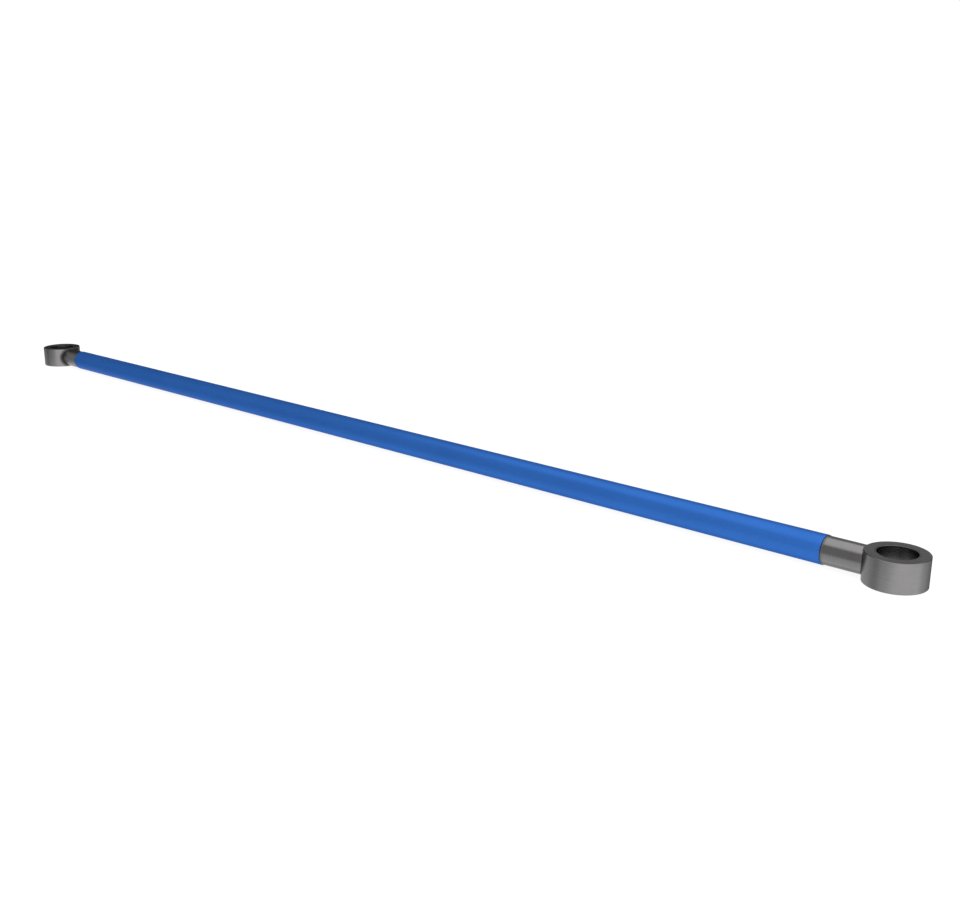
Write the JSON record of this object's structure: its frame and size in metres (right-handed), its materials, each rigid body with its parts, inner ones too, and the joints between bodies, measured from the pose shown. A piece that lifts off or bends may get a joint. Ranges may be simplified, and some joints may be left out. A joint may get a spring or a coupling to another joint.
{
  "type": "sway bar",
  "caption": "Straight round tubular sway bar: painted steel tube with a short bare-steel shank and an upright, lined ring eye at each end. Rigid, welded, fixed length.",
  "frame": {"origin": "middle of the bar, on the tube's axis, half-way between the two eyes", "axes": "+X along the bar towards the right-hand eye, +Z along both eyes' axes, upwards"},
  "size_m": [1.3336, 0.0508, 0.0254],
  "materials": {
    "tube_paint": "smooth satin-gloss blue powder coat on steel tube",
    "shank_steel": "fine-turned bare steel, satin, dark grey",
    "eye_steel": "turned bare steel, satin, dark grey",
    "weld_metal": "dark rippled weld metal, as welded",
    "liner": "bare steel pin liner, honed, satin, dark grey"
  },
  "bodies": {
    "root": {"bar_tube": "tube_paint", "shank_left": "shank_steel", "shank_right": "shank_steel", "eye_ring_left": "eye_steel", "eye_ring_right": "eye_steel", "eye_weld_left_front": "weld_metal", "eye_weld_left_back": "weld_metal", "eye_weld_right_front": "weld_metal", "eye_weld_right_back": "weld_metal", "tube_weld_left": "weld_metal", "tube_weld_right": "weld_metal", "bush_left": "liner", "bush_right": "liner"}
  },
  "joints": []
}
